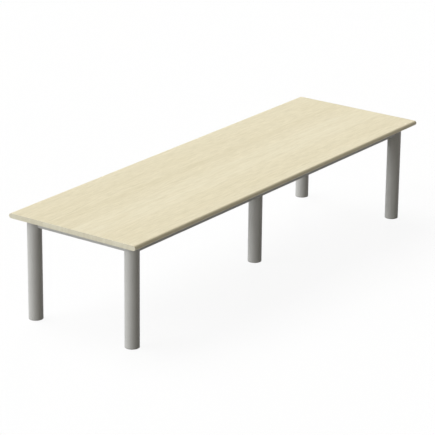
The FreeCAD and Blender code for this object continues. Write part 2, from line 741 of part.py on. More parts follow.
os.makedirs("parts", exist_ok=True)
for piece in nodes:
    piece.Shape.exportStep(f"parts/{piece.Label}.step")
    print(f"{piece.Label}: {len(piece.Shape.Solids)} solids, {piece.Shape.Volume:.1f} mm3")
print(f"{len(nodes)} pieces")
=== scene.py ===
"""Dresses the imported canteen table: a maple-decor top on a silver-grey steel frame with levelling feet."""
import math

import bpy
from mathutils import Matrix, Vector


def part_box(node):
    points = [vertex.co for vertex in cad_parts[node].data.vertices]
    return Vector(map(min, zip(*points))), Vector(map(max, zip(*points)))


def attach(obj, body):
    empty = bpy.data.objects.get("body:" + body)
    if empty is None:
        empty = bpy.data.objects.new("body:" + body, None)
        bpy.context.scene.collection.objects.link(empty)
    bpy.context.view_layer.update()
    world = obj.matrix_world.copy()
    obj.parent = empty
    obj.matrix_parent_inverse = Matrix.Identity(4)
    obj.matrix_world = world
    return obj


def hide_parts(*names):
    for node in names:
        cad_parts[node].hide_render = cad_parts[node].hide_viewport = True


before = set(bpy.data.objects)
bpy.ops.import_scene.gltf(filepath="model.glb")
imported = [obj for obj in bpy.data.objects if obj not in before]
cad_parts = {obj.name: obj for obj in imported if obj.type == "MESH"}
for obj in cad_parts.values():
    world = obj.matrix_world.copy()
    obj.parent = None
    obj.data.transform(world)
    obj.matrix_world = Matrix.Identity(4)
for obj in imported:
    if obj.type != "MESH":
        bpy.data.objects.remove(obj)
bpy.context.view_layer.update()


# Legs: five steel tubes, cut square and powder coated silver grey in one go with all that is welded to
# them. Each corner leg has a disc welded into its head and two short box tubes, the spigots, on its side.

CORNERS = ("front_left", "back_left", "front_right", "back_right")
LEGS = (*CORNERS, "middle")
PLACE_DIGITS = 4
COAT_DARK = (0.442, 0.446, 0.436, 1)
COAT_LIGHT = (0.552, 0.556, 0.545, 1)
COAT_RUBBED = (0.640, 0.640, 0.630, 1)
COAT_SCUFF = (0.20, 0.20, 0.19, 1)
COAT_PEEL = 0.0021
COAT_FLAKE = 0.0006
COAT_EDGE = 0.0014
COAT_SMUDGES = 5.0
COAT_SCUFF_REACH = 0.11
# A look says what each mark on a finish does. The tone goes from the first colour to the second. Further
# colours lie over it where a mark shows, as strongly as given. Marks also add to the roughness and relief.
COAT_LOOK = {
    "colours": (COAT_DARK, COAT_LIGHT),
    "tone": {"flake": 0.55, "smudge": 0.15, "peel": 0.30},
    "over": {"rubbed": (0.55, COAT_RUBBED), "scuff": (0.22, COAT_SCUFF)},
    "roughness": {"even": 0.42, "flake": 0.10, "smudge": 0.06, "scuff": 0.12, "rubbed": -0.12},
    "relief": {"peel": 1.0},
    "depth": 0.00013,
    "shader": {"Specular IOR Level": 0.3},
}
GRIT_DETAIL = 3.0
FLECKS_PER_GRAIN = 2.4
SMUDGES = {"detail": 5.0, "roughness": 0.6, "shows": (0.40, 0.68)}
SCUFF_STREAKS = {"rates": (26.0, 26.0, 190.0), "detail": 4.0, "roughness": 0.65, "shows": (0.56, 0.70)}
WEAR_BREAKS = {"scale": 150.0, "detail": 4.0, "roughness": 0.6, "shows": (0.34, 0.62)}
WEAR_BEND = (0.985, 0.80)
WEAR_SAMPLES = 6

leg_axis = {}
for leg in LEGS:
    plug_low, plug_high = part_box(f"end_plug_{leg}")
    middle = (plug_low + plug_high) / 2
    leg_axis[leg] = Vector((round(middle.x, PLACE_DIGITS), round(middle.y, PLACE_DIGITS), 0))
# Every plug is as wide as its leg.
LEG_RADIUS = round((plug_high.x - plug_low.x) / 2, PLACE_DIGITS)


class Field:
    """An output of a node. A formula written with fields becomes Math nodes."""

    def __init__(self, socket):
        self.socket = socket
        self.tree = socket.id_data

    def math(self, operation, *others, clamp=False):
        inputs = (self, *others)
        return add_node(self.tree, "ShaderNodeMath", inputs, operation=operation, use_clamp=clamp)["Value"]

    def __add__(self, other):
        return self.math("ADD", other)

    __radd__ = __add__

    def __sub__(self, other):
        return self.math("SUBTRACT", other)

    def __mul__(self, other):
        return self.math("MULTIPLY", other)

    def __truediv__(self, other):
        return self.math("DIVIDE", other)

    def clamped(self):
        return self.math("ADD", 0.0, clamp=True)

    def between(self, low, high):
        """Rises softly from 0 at low to 1 at high."""
        limits = {"Value": self, "From Min": low, "From Max": high}
        return add_node(self.tree, "ShaderNodeMapRange", limits, interpolation_type="SMOOTHSTEP")["Result"]

    def parts(self):
        split = add_node(self.tree, "ShaderNodeSeparateXYZ", {"Vector": self})
        return split["X"], split["Y"], split["Z"]


def feed(source, slot):
    """Links a field to an input, or sets the input to a plain value."""
    if isinstance(source, Field):
        slot.id_data.links.new(source.socket, slot)
    else:
        slot.default_value = source


def add_node(tree, kind, inputs, **settings):
    """Adds a node, feeds its inputs by name or in order, and returns its outputs by name."""
    node = tree.nodes.new(kind)
    for name, setting in settings.items():
        setattr(node, name, setting)
    sources = inputs if isinstance(inputs, dict) else dict(enumerate(inputs))
    for slot, source in sources.items():
        feed(source, node.inputs[slot])
    return {socket.name: Field(socket) for socket in node.outputs}


def joined(tree, x, y, z):
    return add_node(tree, "ShaderNodeCombineXYZ", {"X": x, "Y": y, "Z": z})["Vector"]


def stretched(position, rates, layer=0.0):
    """A position counted in marks, not metres. Patterns on different layers don't repeat one another."""
    inputs = (position, rates, (0.0, 0.0, layer))
    return add_node(position.tree, "ShaderNodeVectorMath", inputs, operation="MULTIPLY_ADD")["Vector"]


def noise(position, scale, detail=2.0, roughness=0.5, shows=None):
    """Random marks. Between the two values of shows, a mark goes from none to full."""
    inputs = {"Vector": position, "Scale": scale, "Detail": detail, "Roughness": roughness}
    strength = add_node(position.tree, "ShaderNodeTexNoise", inputs)["Fac"]
    return strength.between(*shows) if shows else strength


def pattern(position, rates, layer=0.0, **marks):
    """Noise with its own number of marks per metre along each axis."""
    return noise(stretched(position, rates, layer), 1.0, **marks)


def cells(position, scale):
    """A random number from 0 to 1 for each grain-like cell."""
    colour = add_node(position.tree, "ShaderNodeTexVoronoi", {"Vector": position, "Scale": scale})["Color"]
    return add_node(position.tree, "ShaderNodeSeparateColor", {"Color": colour})["Red"]


def blended(share, first, second):
    """The first colour where share is 0, and the second where it is 1."""
    node = share.tree.nodes.new("ShaderNodeMix")
    node.data_type = "RGBA"
    factor, first_slot, second_slot = node.inputs[0], node.inputs[6], node.inputs[7]
    feed(share, factor)
    feed(first, first_slot)
    feed(second, second_slot)
    return Field(node.outputs[2])


def weighed(marks, shares):
    """Adds up marks, each times its share."""
    return sum(marks[name] * share for name, share in shares.items())


def add_sizes(tree, presets):
    """Gives a node group an input for each named size."""
    for label, preset in presets.items():
        socket = tree.interface.new_socket(label, in_out="INPUT", socket_type="NodeSocketFloat")
        socket.default_value = preset


def entries(tree):
    """A node group's inputs by name."""
    return {socket.name: Field(socket) for socket in tree.nodes.new("NodeGroupInput").outputs if socket.name}


def new_effect(name, presets, formula):
    """A shader node group. formula takes the position and sizes, and returns the group's outputs by name."""
    tree = bpy.data.node_groups.new(name, "ShaderNodeTree")
    tree.interface.new_socket("Position", in_out="INPUT", socket_type="NodeSocketVector")
    add_sizes(tree, presets)
    results = formula(*entries(tree).values())
    for label in results:
        tree.interface.new_socket(label, in_out="OUTPUT", socket_type="NodeSocketFloat")
    leaving = tree.nodes.new("NodeGroupOutput").inputs
    for label, result in results.items():
        feed(result, leaving[label])
    return tree


def place_effect(effect, position, **sizes):
    """Places an effect in a material and returns its outputs by name."""
    return add_node(position.tree, "ShaderNodeGroup", {"Position": position, **sizes}, node_tree=effect)


def new_finish(name, look, draw_marks):
    """A material with marks drawn in the piece's own coordinates. The mark "even" is the same all over."""
    material = bpy.data.materials.new(name)
    material.use_nodes = True
    tree = material.node_tree
    position = add_node(tree, "ShaderNodeTexCoord", {})["Object"]
    marks = {"even": 1.0, **draw_marks(position)}
    colour = blended(weighed(marks, look["tone"]), *look["colours"])
    for mark, (strength, colour_over) in look.get("over", {}).items():
        colour = blended(marks[mark] * strength, colour, colour_over)
    relief = {"Height": weighed(marks, look["relief"]), "Distance": look["depth"]}
    shader = tree.nodes["Principled BSDF"].inputs
    feed(colour, shader["Base Color"])
    feed(weighed(marks, look["roughness"]), shader["Roughness"])
    feed(add_node(tree, "ShaderNodeBump", relief)["Normal"], shader["Normal"])
    for socket, setting in look.get("shader", {}).items():
        feed(setting, shader[socket])
    return material


def dress(names, material):
    """Gives CAD nodes a finish."""
    for name in names:
        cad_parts[name].material_slots[0].material = material


def grit(position, grain):
    """The relief of a fine grain, and a tone for each fleck in it."""
    per_metre = grain.math("POWER", -1.0)
    return {
        "Height": noise(position, per_metre, GRIT_DETAIL),
        "Fleck": cells(position, per_metre * FLECKS_PER_GRAIN),
    }


def smudges(position, patches):
    """Faint patches that hands have left."""
    return {"Smudge": noise(position, patches, **SMUDGES)}


def scuffs(position, reach):
    """Level streaks that shoes and brooms have left. They thin out up to the reach."""
    height = position.parts()[2]
    low_down = (height / reach).between(1.0, 0.0)
    return {"Scuff": pattern(position, **SCUFF_STREAKS) * low_down}


def worn_edges(position, reach):
    """Edges, found where the surface's own direction differs from one that is rounded over the reach."""
    facing = add_node(position.tree, "ShaderNodeNewGeometry", {})["Normal"]
    rounded = add_node(position.tree, "ShaderNodeBevel", {"Radius": reach}, samples=WEAR_SAMPLES)["Normal"]
    directions = (facing, rounded)
    agreement = add_node(position.tree, "ShaderNodeVectorMath", directions, operation="DOT_PRODUCT")["Value"]
    return {"Edge": agreement.between(*WEAR_BEND) * noise(position, **WEAR_BREAKS)}


fine_grit = new_effect("fine_grit", {"Grain": 0.001}, grit)
handling_marks = new_effect("handling_marks", {"Patches": 8.0}, smudges)
floor_scuffs = new_effect("floor_scuffs", {"Reach": 0.1}, scuffs)
edge_wear = new_effect("edge_wear", {"Reach": 0.001}, worn_edges)


def coat_marks(position):
    """The peel of the baked powder, the metal flakes in it, and the wear on it."""
    return {
        "peel": place_effect(fine_grit, position, Grain=COAT_PEEL)["Height"],
        "flake": place_effect(fine_grit, position, Grain=COAT_FLAKE)["Fleck"],
        "smudge": place_effect(handling_marks, position, Patches=COAT_SMUDGES)["Smudge"],
        "scuff": place_effect(floor_scuffs, position, Reach=COAT_SCUFF_REACH)["Scuff"],
        "rubbed": place_effect(edge_wear, position, Reach=COAT_EDGE)["Edge"],
    }


silver_coat = new_finish("silver_powder_coat", COAT_LOOK, coat_marks)
dress([f"leg_{leg}" for leg in LEGS], silver_coat)
dress([f"leg_head_{corner}" for corner in CORNERS], silver_coat)
dress([f"spigot_{corner}_{side}" for corner in CORNERS for side in ("long", "end")], silver_coat)


# Feet: a grey moulded plug is driven into each leg, with a steel thread insert moulded into its hub. A
# threaded stud with a six-sided collar turns in the insert and stands in a dark pad, so that the table can
# be levelled.

PLUG_DARK = (0.36, 0.36, 0.35, 1)
PLUG_LIGHT = (0.46, 0.46, 0.45, 1)
PAD_DARK = (0.085, 0.085, 0.088, 1)
PAD_LIGHT = (0.150, 0.150, 0.152, 1)
MOULD_SCUFF = (0.55, 0.55, 0.54, 1)
MOULD_RUBBED = (0.50, 0.50, 0.49, 1)
MOULD_GRAIN = 0.0006
MOULD_EDGE = 0.0009
MOULD_SMUDGES = 30.0
MOULD_SCUFF_REACH = 0.03
MOULD_FLOW = {"scale": 55.0, "detail": 3.0}
MOULD_LOOK = {
    "tone": {"fleck": 0.35, "flow": 0.50, "smudge": 0.15},
    "over": {"rubbed": (0.25, MOULD_RUBBED), "scuff": (0.25, MOULD_SCUFF)},
    "roughness": {"even": 0.46, "smudge": 0.10, "grain": 0.12, "rubbed": -0.10},
    "relief": {"grain": 1.0},
    "depth": 0.00003,
}
PLUG_LOOK = {**MOULD_LOOK, "colours": (PLUG_DARK, PLUG_LIGHT)}
PAD_LOOK = {**MOULD_LOOK, "colours": (PAD_DARK, PAD_LIGHT)}
ZINC_BRIGHT = (0.68, 0.69, 0.70, 1)
ZINC_DULL = (0.50, 0.51, 0.51, 1)
ZINC_WARM = (0.66, 0.61, 0.48, 1)
ZINC_RUBBED = (0.78, 0.79, 0.80, 1)
ZINC_GRAIN = 0.0004
ZINC_EDGE = 0.0004
ZINC_PATCHES = 140.0
DULL_BLOOM = {"detail": 4.0, "roughness": 0.6, "shows": (0.38, 0.66)}
WARM_BLOOM = {"detail": 2.0, "shows": (0.50, 0.75)}
WARM_PER_DULL = 0.45
LATHE_RINGS = {"rates": (5200.0, 5200.0, 0.0), "detail": 1.0}
ZINC_LOOK = {
    "colours": (ZINC_BRIGHT, ZINC_DULL),
    "tone": {"dull": 1.0},
    "over": {"warm": (0.35, ZINC_WARM), "rubbed": (0.50, ZINC_RUBBED)},
    "roughness": {"even": 0.22, "dull": 0.16, "grain": 0.14, "rubbed": -0.08},
    "relief": {"grain": 1.0},
    "depth": 0.00002,
    "shader": {"Metallic": 1.0},
}
STUD_SIZES = {
    "Foot Height": 0.003,
    "Stub Diameter": 0.0138,
    "Collar Height": 0.009,
    "Collar Thickness": 0.005,
    "Collar Width": 0.014,
    "Thread Diameter": 0.0098,
    "Thread Depth": 0.0009,
    "Thread Pitch": 0.0015,
    "Thread Start": 0.014,
    "Thread Length": 0.0325,
    "Tip Diameter": 0.0068,
    "End Height": 0.048,
}
STUD_CHAMFER = 0.0006
COLLAR_BEVEL = 0.99
TURNING_STEPS = 48
ROWS_PER_TURN = 2.0
RUN_OUT_ROWS = 3.0
RUN_OUT_TURNS = 0.5
TIP_ROWS = 2.0
ROUND_ROW = 0.0
FORMED_ROW = 1.0
LOBE_MIDDLE = 0.89
LOBE_HEIGHT = 0.11
SEAM = 2e-6
CREASE = math.radians(38)
STOP_SEED = 11


def choice(condition, met, unmet):
    """One of two numbers in a geometry tree."""
    inputs = {"Switch": condition, "False": unmet, "True": met}
    return add_node(condition.tree, "GeometryNodeSwitch", inputs, input_type="FLOAT")["Output"]


def row_choice(index, values):
    """The number that belongs to a row of an outline."""
    node = index.tree.nodes.new("GeometryNodeIndexSwitch")
    node.data_type = "FLOAT"
    for _ in values[2:]:
        node.index_switch_items.new()
    feed(index, node.inputs["Index"])
    for slot, number in zip(node.inputs[1:], values):
        feed(number, slot)
    return Field(node.outputs["Output"])


def reached(row, number):
    """True from the numbered row on."""
    return row.math("GREATER_THAN", number - 0.5)


def hexagon(turn):
    """How far a six-sided outline lies beyond the circle inside it, over one turn."""
    sixth = (turn * 6.0).math("FRACT") - 0.5
    cosine = (sixth * (math.pi / 3)).math("COSINE")
    return cosine.math("POWER", -1.0)


def six_lobes(turn):
    """A six-lobed outline, as a share of the circle round it."""
    return (turn * (12 * math.pi)).math("COSINE") * LOBE_HEIGHT + LOBE_MIDDLE


def new_shape_tree(name, presets):
    """A geometry tree with its seats, its sizes and its finish as inputs."""
    tree = bpy.data.node_groups.new(name, "GeometryNodeTree")
    tree.is_modifier = True
    tree.interface.new_socket("Seats", in_out="INPUT", socket_type="NodeSocketGeometry")
    add_sizes(tree, presets)
    tree.interface.new_socket("Finish", in_out="INPUT", socket_type="NodeSocketMaterial")
    tree.interface.new_socket("Geometry", in_out="OUTPUT", socket_type="NodeSocketGeometry")
    return tree, entries(tree)


def new_sheet(tree, points_across, points_up):
    """A flat sheet, with each point's place across and up it as shares from 0 to 1."""
    sizes = {"Size X": 1.0, "Size Y": 1.0, "Vertices X": points_across, "Vertices Y": points_up}
    sheet = add_node(tree, "GeometryNodeMeshGrid", sizes)["Mesh"]
    x, y, _ = add_node(tree, "GeometryNodeInputPosition", {})["Position"].parts()
    return sheet, x + 0.5, y + 0.5


def rolled(tree, sheet, radius, turn, height):
    """Rolls a sheet round the upright axis and closes its seam and its ends."""
    angle = turn * (2 * math.pi)
    place = joined(tree, radius * angle.math("COSINE"), radius * angle.math("SINE"), height)
    bent = add_node(tree, "GeometryNodeSetPosition", {"Geometry": sheet, "Position": place})["Geometry"]
    closed = add_node(tree, "GeometryNodeMergeByDistance", {"Geometry": bent, "Distance": SEAM})["Geometry"]
    return add_node(tree, "GeometryNodeSetShadeSmooth", {"Geometry": closed})["Geometry"]


def set_on_seats(tree, size, shape, **placing):
    """Ends a geometry tree with its shape on every seat, as one mesh in its finish."""
    seated = {"Points": size["Seats"], "Instance": shape, **placing}
    instances = add_node(tree, "GeometryNodeInstanceOnPoints", seated)["Instances"]
    real = add_node(tree, "GeometryNodeRealizeInstances", {"Geometry": instances})["Geometry"]
    coated = {"Geometry": real, "Material": size["Finish"]}
    finished = add_node(tree, "GeometryNodeSetMaterial", coated)["Geometry"]
    feed(finished, tree.nodes.new("NodeGroupOutput").inputs["Geometry"])


def thread_root(size):
    """The radius at the bottom of the thread."""
    return size["Thread Diameter"] * 0.5 - size["Thread Depth"]


def new_turned_tree(name, presets, outline, form):
    """A geometry tree for a threaded, turned piece with its axis upright.

    outline takes the tree's sizes and lists the rows below the thread, each as a radius, a height and whether
    it is round or takes the form. The thread is one helix, with a root row and a crest row in each turn.
    """
    tree, size = new_shape_tree(name, presets)
    rows = outline(size)
    radii, heights, forms = zip(*rows)
    turns = size["Thread Length"] / size["Thread Pitch"]
    row_count = turns.math("CEIL") * ROWS_PER_TURN + (len(rows) + RUN_OUT_ROWS + TIP_ROWS)
    sheet, turn, up = new_sheet(tree, TURNING_STEPS + 1, row_count)
    row = (up * (row_count - 1.0)).math("ROUND")
    outline_row = row.math("MINIMUM", len(rows) - 1.0)
    in_thread = reached(row, len(rows))
    in_tip = reached(row, row_count - TIP_ROWS)
    at_end = reached(row, row_count - 1.0)

    thread_row = row - float(len(rows))
    climbed = (thread_row / ROWS_PER_TURN + turn - 1.0).math("MAXIMUM", 0.0).math("MINIMUM", turns)
    run_out = (climbed.math("MINIMUM", turns - climbed) / RUN_OUT_TURNS).clamped()
    crest = thread_row.math("MODULO", ROWS_PER_TURN) * run_out
    thread_radius = thread_root(size) + crest * size["Thread Depth"]
    thread_height = size["Thread Start"] + climbed * size["Thread Pitch"]
    tip_radius = choice(at_end, 0.0, size["Tip Diameter"] * 0.5)
    upper_radius = choice(in_tip, tip_radius, thread_radius)
    upper_height = choice(in_tip, size["End Height"], thread_height)
    round_radius = choice(in_thread, upper_radius, row_choice(outline_row, radii))
    height = choice(in_thread, upper_height, row_choice(outline_row, heights))
    formed = choice(in_thread, ROUND_ROW, row_choice(outline_row, forms))
    radius = round_radius * (formed * (form(turn) - 1.0) + 1.0)

    marked = add_node(
        tree,
        "GeometryNodeStoreNamedAttribute",
        {"Geometry": sheet, "Name": "lathe", "Value": joined(tree, radius, height, turn)},
        data_type="FLOAT_VECTOR",
        domain="POINT",
    )["Geometry"]
    smooth = rolled(tree, marked, radius, turn, height)
    bend = add_node(tree, "GeometryNodeInputMeshEdgeAngle", {})["Unsigned Angle"]
    soft_edges = {"Geometry": smooth, "Shade Smooth": bend.math("LESS_THAN", CREASE)}
    creased = add_node(tree, "GeometryNodeSetShadeSmooth", soft_edges, domain="EDGE")["Geometry"]
    chance = tree.nodes.new("FunctionNodeRandomValue")
    chance.data_type = "FLOAT"
    chance.inputs["Seed"].default_value = STOP_SEED
    stop = Field(chance.outputs[1]) * (2 * math.pi)
    set_on_seats(tree, size, creased, Rotation=joined(tree, 0.0, 0.0, stop))
    return tree


def build_from_tree(name, tree, seats, sizes, finish):
    """Runs a geometry tree on a list of points and keeps the result as a plain mesh."""
    points = bpy.data.meshes.new(name)
    points.from_pydata(seats, [], [])
    piece = bpy.data.objects.new(name, points)
    bpy.context.scene.collection.objects.link(piece)
    modifier = piece.modifiers.new("build", "NODES")
    modifier.node_group = tree
    settings = {**sizes, "Finish": finish}
    for socket in tree.interface.items_tree:
        if socket.in_out == "INPUT" and socket.name in settings:
            modifier[socket.identifier] = settings[socket.name]
    graph = bpy.context.evaluated_depsgraph_get()
    plain = bpy.data.meshes.new_from_object(piece.evaluated_get(graph))
    piece.modifiers.remove(modifier)
    piece.data = plain
    return piece


def mould_marks(position):
    """The eroded grain of the mould, the flow of the plastic, scuffs near the floor and rubbed edges."""
    grain = place_effect(fine_grit, position, Grain=MOULD_GRAIN)
    return {
        "grain": grain["Height"],
        "fleck": grain["Fleck"],
        "flow": noise(position, **MOULD_FLOW),
        "smudge": place_effect(handling_marks, position, Patches=MOULD_SMUDGES)["Smudge"],
        "scuff": place_effect(floor_scuffs, position, Reach=MOULD_SCUFF_REACH)["Scuff"],
        "rubbed": place_effect(edge_wear, position, Reach=MOULD_EDGE)["Edge"],
    }


def bloom(position, patches):
    """Dull patches on zinc plating, and larger ones with a yellow tinge."""
    return {
        "Dull": noise(position, patches, **DULL_BLOOM),
        "Warm": noise(position, patches * WARM_PER_DULL, **WARM_BLOOM),
    }


zinc_bloom = new_effect("zinc_bloom", {"Patches": 90.0}, bloom)


def plating_marks(position):
    """What all zinc plating shows: its bloom, and edges rubbed bright."""
    plated = place_effect(zinc_bloom, position, Patches=ZINC_PATCHES)
    rubbed = place_effect(edge_wear, position, Reach=ZINC_EDGE)["Edge"]
    return {"dull": plated["Dull"], "warm": plated["Warm"], "rubbed": rubbed}


def pressed_zinc_marks(position):
    """Plating on a pressed piece, with a fine grain."""
    return {**plating_marks(position), "grain": place_effect(fine_grit, position, Grain=ZINC_GRAIN)["Height"]}


def turned_zinc_marks(position):
    """Plating on a turned piece, with the fine rings that the lathe left."""
    lathe = add_node(position.tree, "ShaderNodeAttribute", {}, attribute_name="lathe")["Vector"]
    return {**plating_marks(position), "grain": pattern(lathe, **LATHE_RINGS)}


def stud_outline(size):
    """The stub that stands in the pad, and the six-sided collar above it."""
    foot, stub = size["Foot Height"], size["Stub Diameter"] * 0.5
    low, flats = size["Collar Height"], size["Collar Width"] * 0.5
    high = low + size["Collar Thickness"]
    return (
        (0.0, foot, ROUND_ROW),
        (stub - STUD_CHAMFER, foot, ROUND_ROW),
        (stub, foot + STUD_CHAMFER, ROUND_ROW),
        (stub, low, ROUND_ROW),
        (flats * COLLAR_BEVEL, low, ROUND_ROW),
        (flats, low + STUD_CHAMFER, FORMED_ROW),
        (flats, high - STUD_CHAMFER, FORMED_ROW),
        (flats * COLLAR_BEVEL, high, ROUND_ROW),
        (thread_root(size), high, ROUND_ROW),
    )


plug_plastic = new_finish("grey_plug_plastic", PLUG_LOOK, mould_marks)
pad_plastic = new_finish("dark_pad_plastic", PAD_LOOK, mould_marks)
zinc_pressed = new_finish("zinc_plate", ZINC_LOOK, pressed_zinc_marks)
zinc_turned = new_finish("zinc_plate_turned", ZINC_LOOK, turned_zinc_marks)
dress([f"end_plug_{leg}" for leg in LEGS], plug_plastic)
dress([f"foot_pad_{leg}" for leg in LEGS], pad_plastic)
dress([f"thread_insert_{leg}" for leg in LEGS], zinc_pressed)

stud_tree = new_turned_tree("levelling_stud", STUD_SIZES, stud_outline, hexagon)
for leg in LEGS:
    stud = build_from_tree(f"threaded_stud_{leg}", stud_tree, [leg_axis[leg]], STUD_SIZES, zinc_turned)
    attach(stud, f"stud_{leg}")
    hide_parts(f"foot_stud_{leg}")


# Rails: box tubes with hollowed ends that fit the round legs, square along the table and narrower across it,
# and coated like the legs. They are pushed over the spigots, and holes below let in the screws and a driver.

dress(("rail_front", "rail_back", "rail_left", "rail_right"), silver_coat)


# Joint screws: button-head machine screws with a hexagon socket, zinc plated. Two go up through each rail end
# and its spigot into nuts that sit inside the spigot.

JOINT_SCREW_OFFSETS = (0.030, 0.070)
JOINT_SCREW_SIZES = {
    "Head Diameter": 0.014,
    "Head Height": 0.004,
    "Drive Width": 0.005,
    "Drive Depth": 0.0024,
    "Thread Diameter": 0.0079,
    "Thread Depth": 0.0007,
    "Thread Pitch": 0.00125,
    "Thread Start": 0.0,
    "Thread Length": 0.0150,
    "Tip Diameter": 0.0058,
    "End Height": 0.016,
}
DRIVE_POINT = 0.0003
DRIVE_CHAMFER = 0.0002
HEAD_CHAMFER = 0.0002
DOME_STEPS = 7
# Three shares of the drive's half width, and two of the head's height.
DRIVE_FLOOR = 0.92
DRIVE_MOUTH = 1.12
DOME_START = 1.1 * DRIVE_MOUTH
RIM_TOP = 0.22
RIM_FOOT = 0.066


def button_outline(size):
    """A domed head that hangs below its seat, from the floor of the drive outwards and up to the thread."""
    head, depth = size["Head Diameter"] * 0.5, size["Head Height"]
    drive = size["Drive Width"] * 0.5
    crown = depth * -1.0
    floor = crown + size["Drive Depth"]
    dome_start = drive * DOME_START
    rim = depth * RIM_TOP
    rows = [
        (0.0, floor + DRIVE_POINT, ROUND_ROW),
        (drive * DRIVE_FLOOR, floor, FORMED_ROW),
        (drive, floor - DRIVE_CHAMFER, FORMED_ROW),
        (drive, crown + DRIVE_CHAMFER, FORMED_ROW),
        (drive * DRIVE_MOUTH, crown, FORMED_ROW),
    ]
    for step in range(1, DOME_STEPS + 1):
        slant = math.radians(90 * step / DOME_STEPS)
        bulge = (head - dome_start) * math.sin(slant) + dome_start
        sink = (depth - rim) * math.cos(slant) + rim
        rows.append((bulge, sink * -1.0, ROUND_ROW))
    rows += [
        (head, depth * -RIM_FOOT, ROUND_ROW),
        (head - HEAD_CHAMFER, 0.0, ROUND_ROW),
        (thread_root(size), 0.0, ROUND_ROW),
    ]
    return rows


joint_seats = []
rail_floor = round(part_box("rail_front")[0].z, PLACE_DIGITS)
for corner in CORNERS:
    axis = leg_axis[corner]
    for offset in JOINT_SCREW_OFFSETS:
        inward = LEG_RADIUS + offset
        joint_seats.append((axis.x - math.copysign(inward, axis.x), axis.y, rail_floor))
        joint_seats.append((axis.x, axis.y - math.copysign(inward, axis.y), rail_floor))

joint_screw_tree = new_turned_tree("socket_button_screw", JOINT_SCREW_SIZES, button_outline, hexagon)
joint_screws = build_from_tree(
    "socket_joint_screws", joint_screw_tree, joint_seats, JOINT_SCREW_SIZES, zinc_turned
)
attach(joint_screws, "table")
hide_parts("joint_screws")
dress(("joint_nuts",), zinc_pressed)


# Middle leg's plate: a round steel plate welded to the leg's head and coated with it. The weld is a rippled
# bead that runs round the tube in the corner below the plate.

WELD_SIZES = {"Ring Radius": LEG_RADIUS, "Bead Radius": 0.0034, "Ripples": 74.0}
WELD_STEPS = 444
WELD_SIDES = 14
WELD_SUNK = 0.0012
RIPPLE_LAG = 0.5
RIPPLE_RISE = (0.0, 0.35)
RIPPLE_FALL = (1.0, 0.55)
RIPPLE_LEAST = 0.86
RIPPLE_SWELL = 0.16


def new_weld_tree():
    """A geometry tree for a ring of weld with overlapping ripples, sunk a little into tube and plate."""
    tree, size = new_shape_tree("weld_bead", WELD_SIZES)
    sheet, along, up = new_sheet(tree, WELD_STEPS + 1, WELD_SIDES + 1)
    side = up * (2 * math.pi)
    outward = side.math("COSINE")
    upward = side.math("SINE")
    lag = outward * upward * RIPPLE_LAG
    ripple = (along * size["Ripples"] + lag).math("FRACT")
    swell = ripple.between(*RIPPLE_RISE) * ripple.between(*RIPPLE_FALL)
    thickness = size["Bead Radius"] * (swell * RIPPLE_SWELL + RIPPLE_LEAST)
    radius = size["Ring Radius"] + (thickness * outward).math("MAXIMUM", -WELD_SUNK)
    height = (thickness * upward).math("MINIMUM", WELD_SUNK)
    set_on_seats(tree, size, rolled(tree, sheet, radius, along, height))
    return tree


plate_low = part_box("middle_plate")[0].z
weld_seat = (leg_axis["middle"].x, leg_axis["middle"].y, plate_low)
weld = build_from_tree("plate_weld", new_weld_tree(), [weld_seat], WELD_SIZES, silver_coat)
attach(weld, "table")
dress(("middle_plate",), silver_coat)


# Top: a chipboard core with a plain backing sheet glued below. The maple-decor laminate is bent hot round
# both long edges, so it runs over the top and round to the underside in one sheet, with its grain along the
# table.

MAPLE_PALE = (0.881, 0.806, 0.597, 1)
MAPLE_WARM = (0.596, 0.531, 0.336, 1)
MAPLE_AMBER = (0.660, 0.585, 0.375, 1)
MAPLE_CREAM = (0.850, 0.795, 0.603, 1)
MAPLE_FLECK = (0.520, 0.410, 0.250, 1)
GLUE_LINE = (0.400, 0.330, 0.220, 1)
GLUE_WIDTH = 0.0003
SHEEN_GRAIN = 0.0005
TOP_SMUDGES = 3.0
RUBBED_INSIDE = 0.10
RUBBED_ROUND = 0.01
MAPLE_LOOK = {
    "colours": (MAPLE_PALE, MAPLE_WARM),
    "tone": {"even": 0.07, "cloud": 0.10, "streak": 0.36, "line": 0.22, "fibre": 0.18},
    "over": {
        "amber": (1.0, MAPLE_AMBER),
        "cream": (1.0, MAPLE_CREAM),
        "fleck": (0.16, MAPLE_FLECK),
        "glue": (0.60, GLUE_LINE),
    },
    "roughness": {"even": 0.44, "fibre": 0.07, "smudge": 0.05, "scratch": 0.10, "rubbed": -0.05},
    "relief": {"fibre": 0.55, "sheen": 0.45, "fleck": -0.25, "scratch": -0.40},
    "depth": 0.000025,
}
# Strips of the decor that differ in colour: place across the top, half the width and strength.
AMBER_STRIPS = ((0.148, 0.036, 0.55), (0.290, 0.024, 0.24), (-0.368, 0.026, 0.20))
CREAM_STRIPS = ((-0.033, 0.038, 0.56), (-0.128, 0.040, 0.62), (-0.194, 0.016, 0.50))
STRIP_FADE = (1.45, 0.55)
STRIP_SWAY = {"rates": (1.7, 9.0, 0.0), "layer": 3.0}
STRIP_SWAY_WIDTH = 0.036
STRIP_BREAKS = {
    "rates": (4.2, 42.0, 0.0), "layer": 5.0, "detail": 3.0, "roughness": 0.6, "shows": (0.28, 0.72)
}
